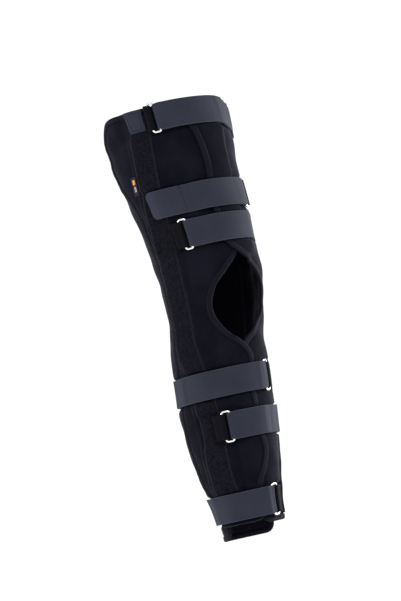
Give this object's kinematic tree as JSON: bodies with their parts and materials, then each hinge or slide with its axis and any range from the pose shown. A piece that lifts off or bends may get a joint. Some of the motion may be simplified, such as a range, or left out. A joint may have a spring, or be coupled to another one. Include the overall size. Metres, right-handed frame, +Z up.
{
  "type": "knee immobilizer",
  "caption": "Padded panel splint that wraps a straight leg from thigh to ankle, open over the kneecap, closed by straps looped through wire rings.",
  "frame": {"origin": "centre of the knee on the leg's axis, at the middle height of the kneecap opening", "axes": "+Z up the leg towards the hip, -Y out of the front of the leg, -X towards the outer side of a right leg"},
  "size_m": [0.1955, 0.1885, 0.6124],
  "materials": {
    "padded_knit": "matte black foam-backed knit",
    "edge_tape": "woven black edge tape, slightly lighter than the knit",
    "loop_pile": "fuzzy black loop pile",
    "strap_webbing": "brushed slate-grey strap fabric",
    "holder_webbing": "ribbed black webbing",
    "ring_wire": "bright nickel-plated wire",
    "woven_label": "plain woven tag in amber and pale stripes, no words"
  },
  "bodies": {
    "root": {"lateral_panel": "padded_knit", "lateral_binding": "edge_tape", "medial_panel": "padded_knit", "medial_binding": "edge_tape", "rear_panel": "padded_knit", "rear_binding": "edge_tape", "lateral_loop_strip": "loop_pile", "medial_loop_strip": "loop_pile", "strap_1": "strap_webbing", "ring_1": "ring_wire", "ring_holder_1": "holder_webbing", "strap_2": "strap_webbing", "ring_2": "ring_wire", "ring_holder_2": "holder_webbing", "strap_3": "strap_webbing", "ring_3": "ring_wire", "ring_holder_3": "holder_webbing", "strap_4": "strap_webbing", "ring_4": "ring_wire", "ring_holder_4": "holder_webbing", "strap_5": "strap_webbing", "ring_5": "ring_wire", "ring_holder_5": "holder_webbing", "strap_6": "strap_webbing", "ring_6": "ring_wire", "ring_holder_6": "holder_webbing", "strap_1_patch": "strap_webbing", "side_label": "woven_label"}
  },
  "joints": []
}
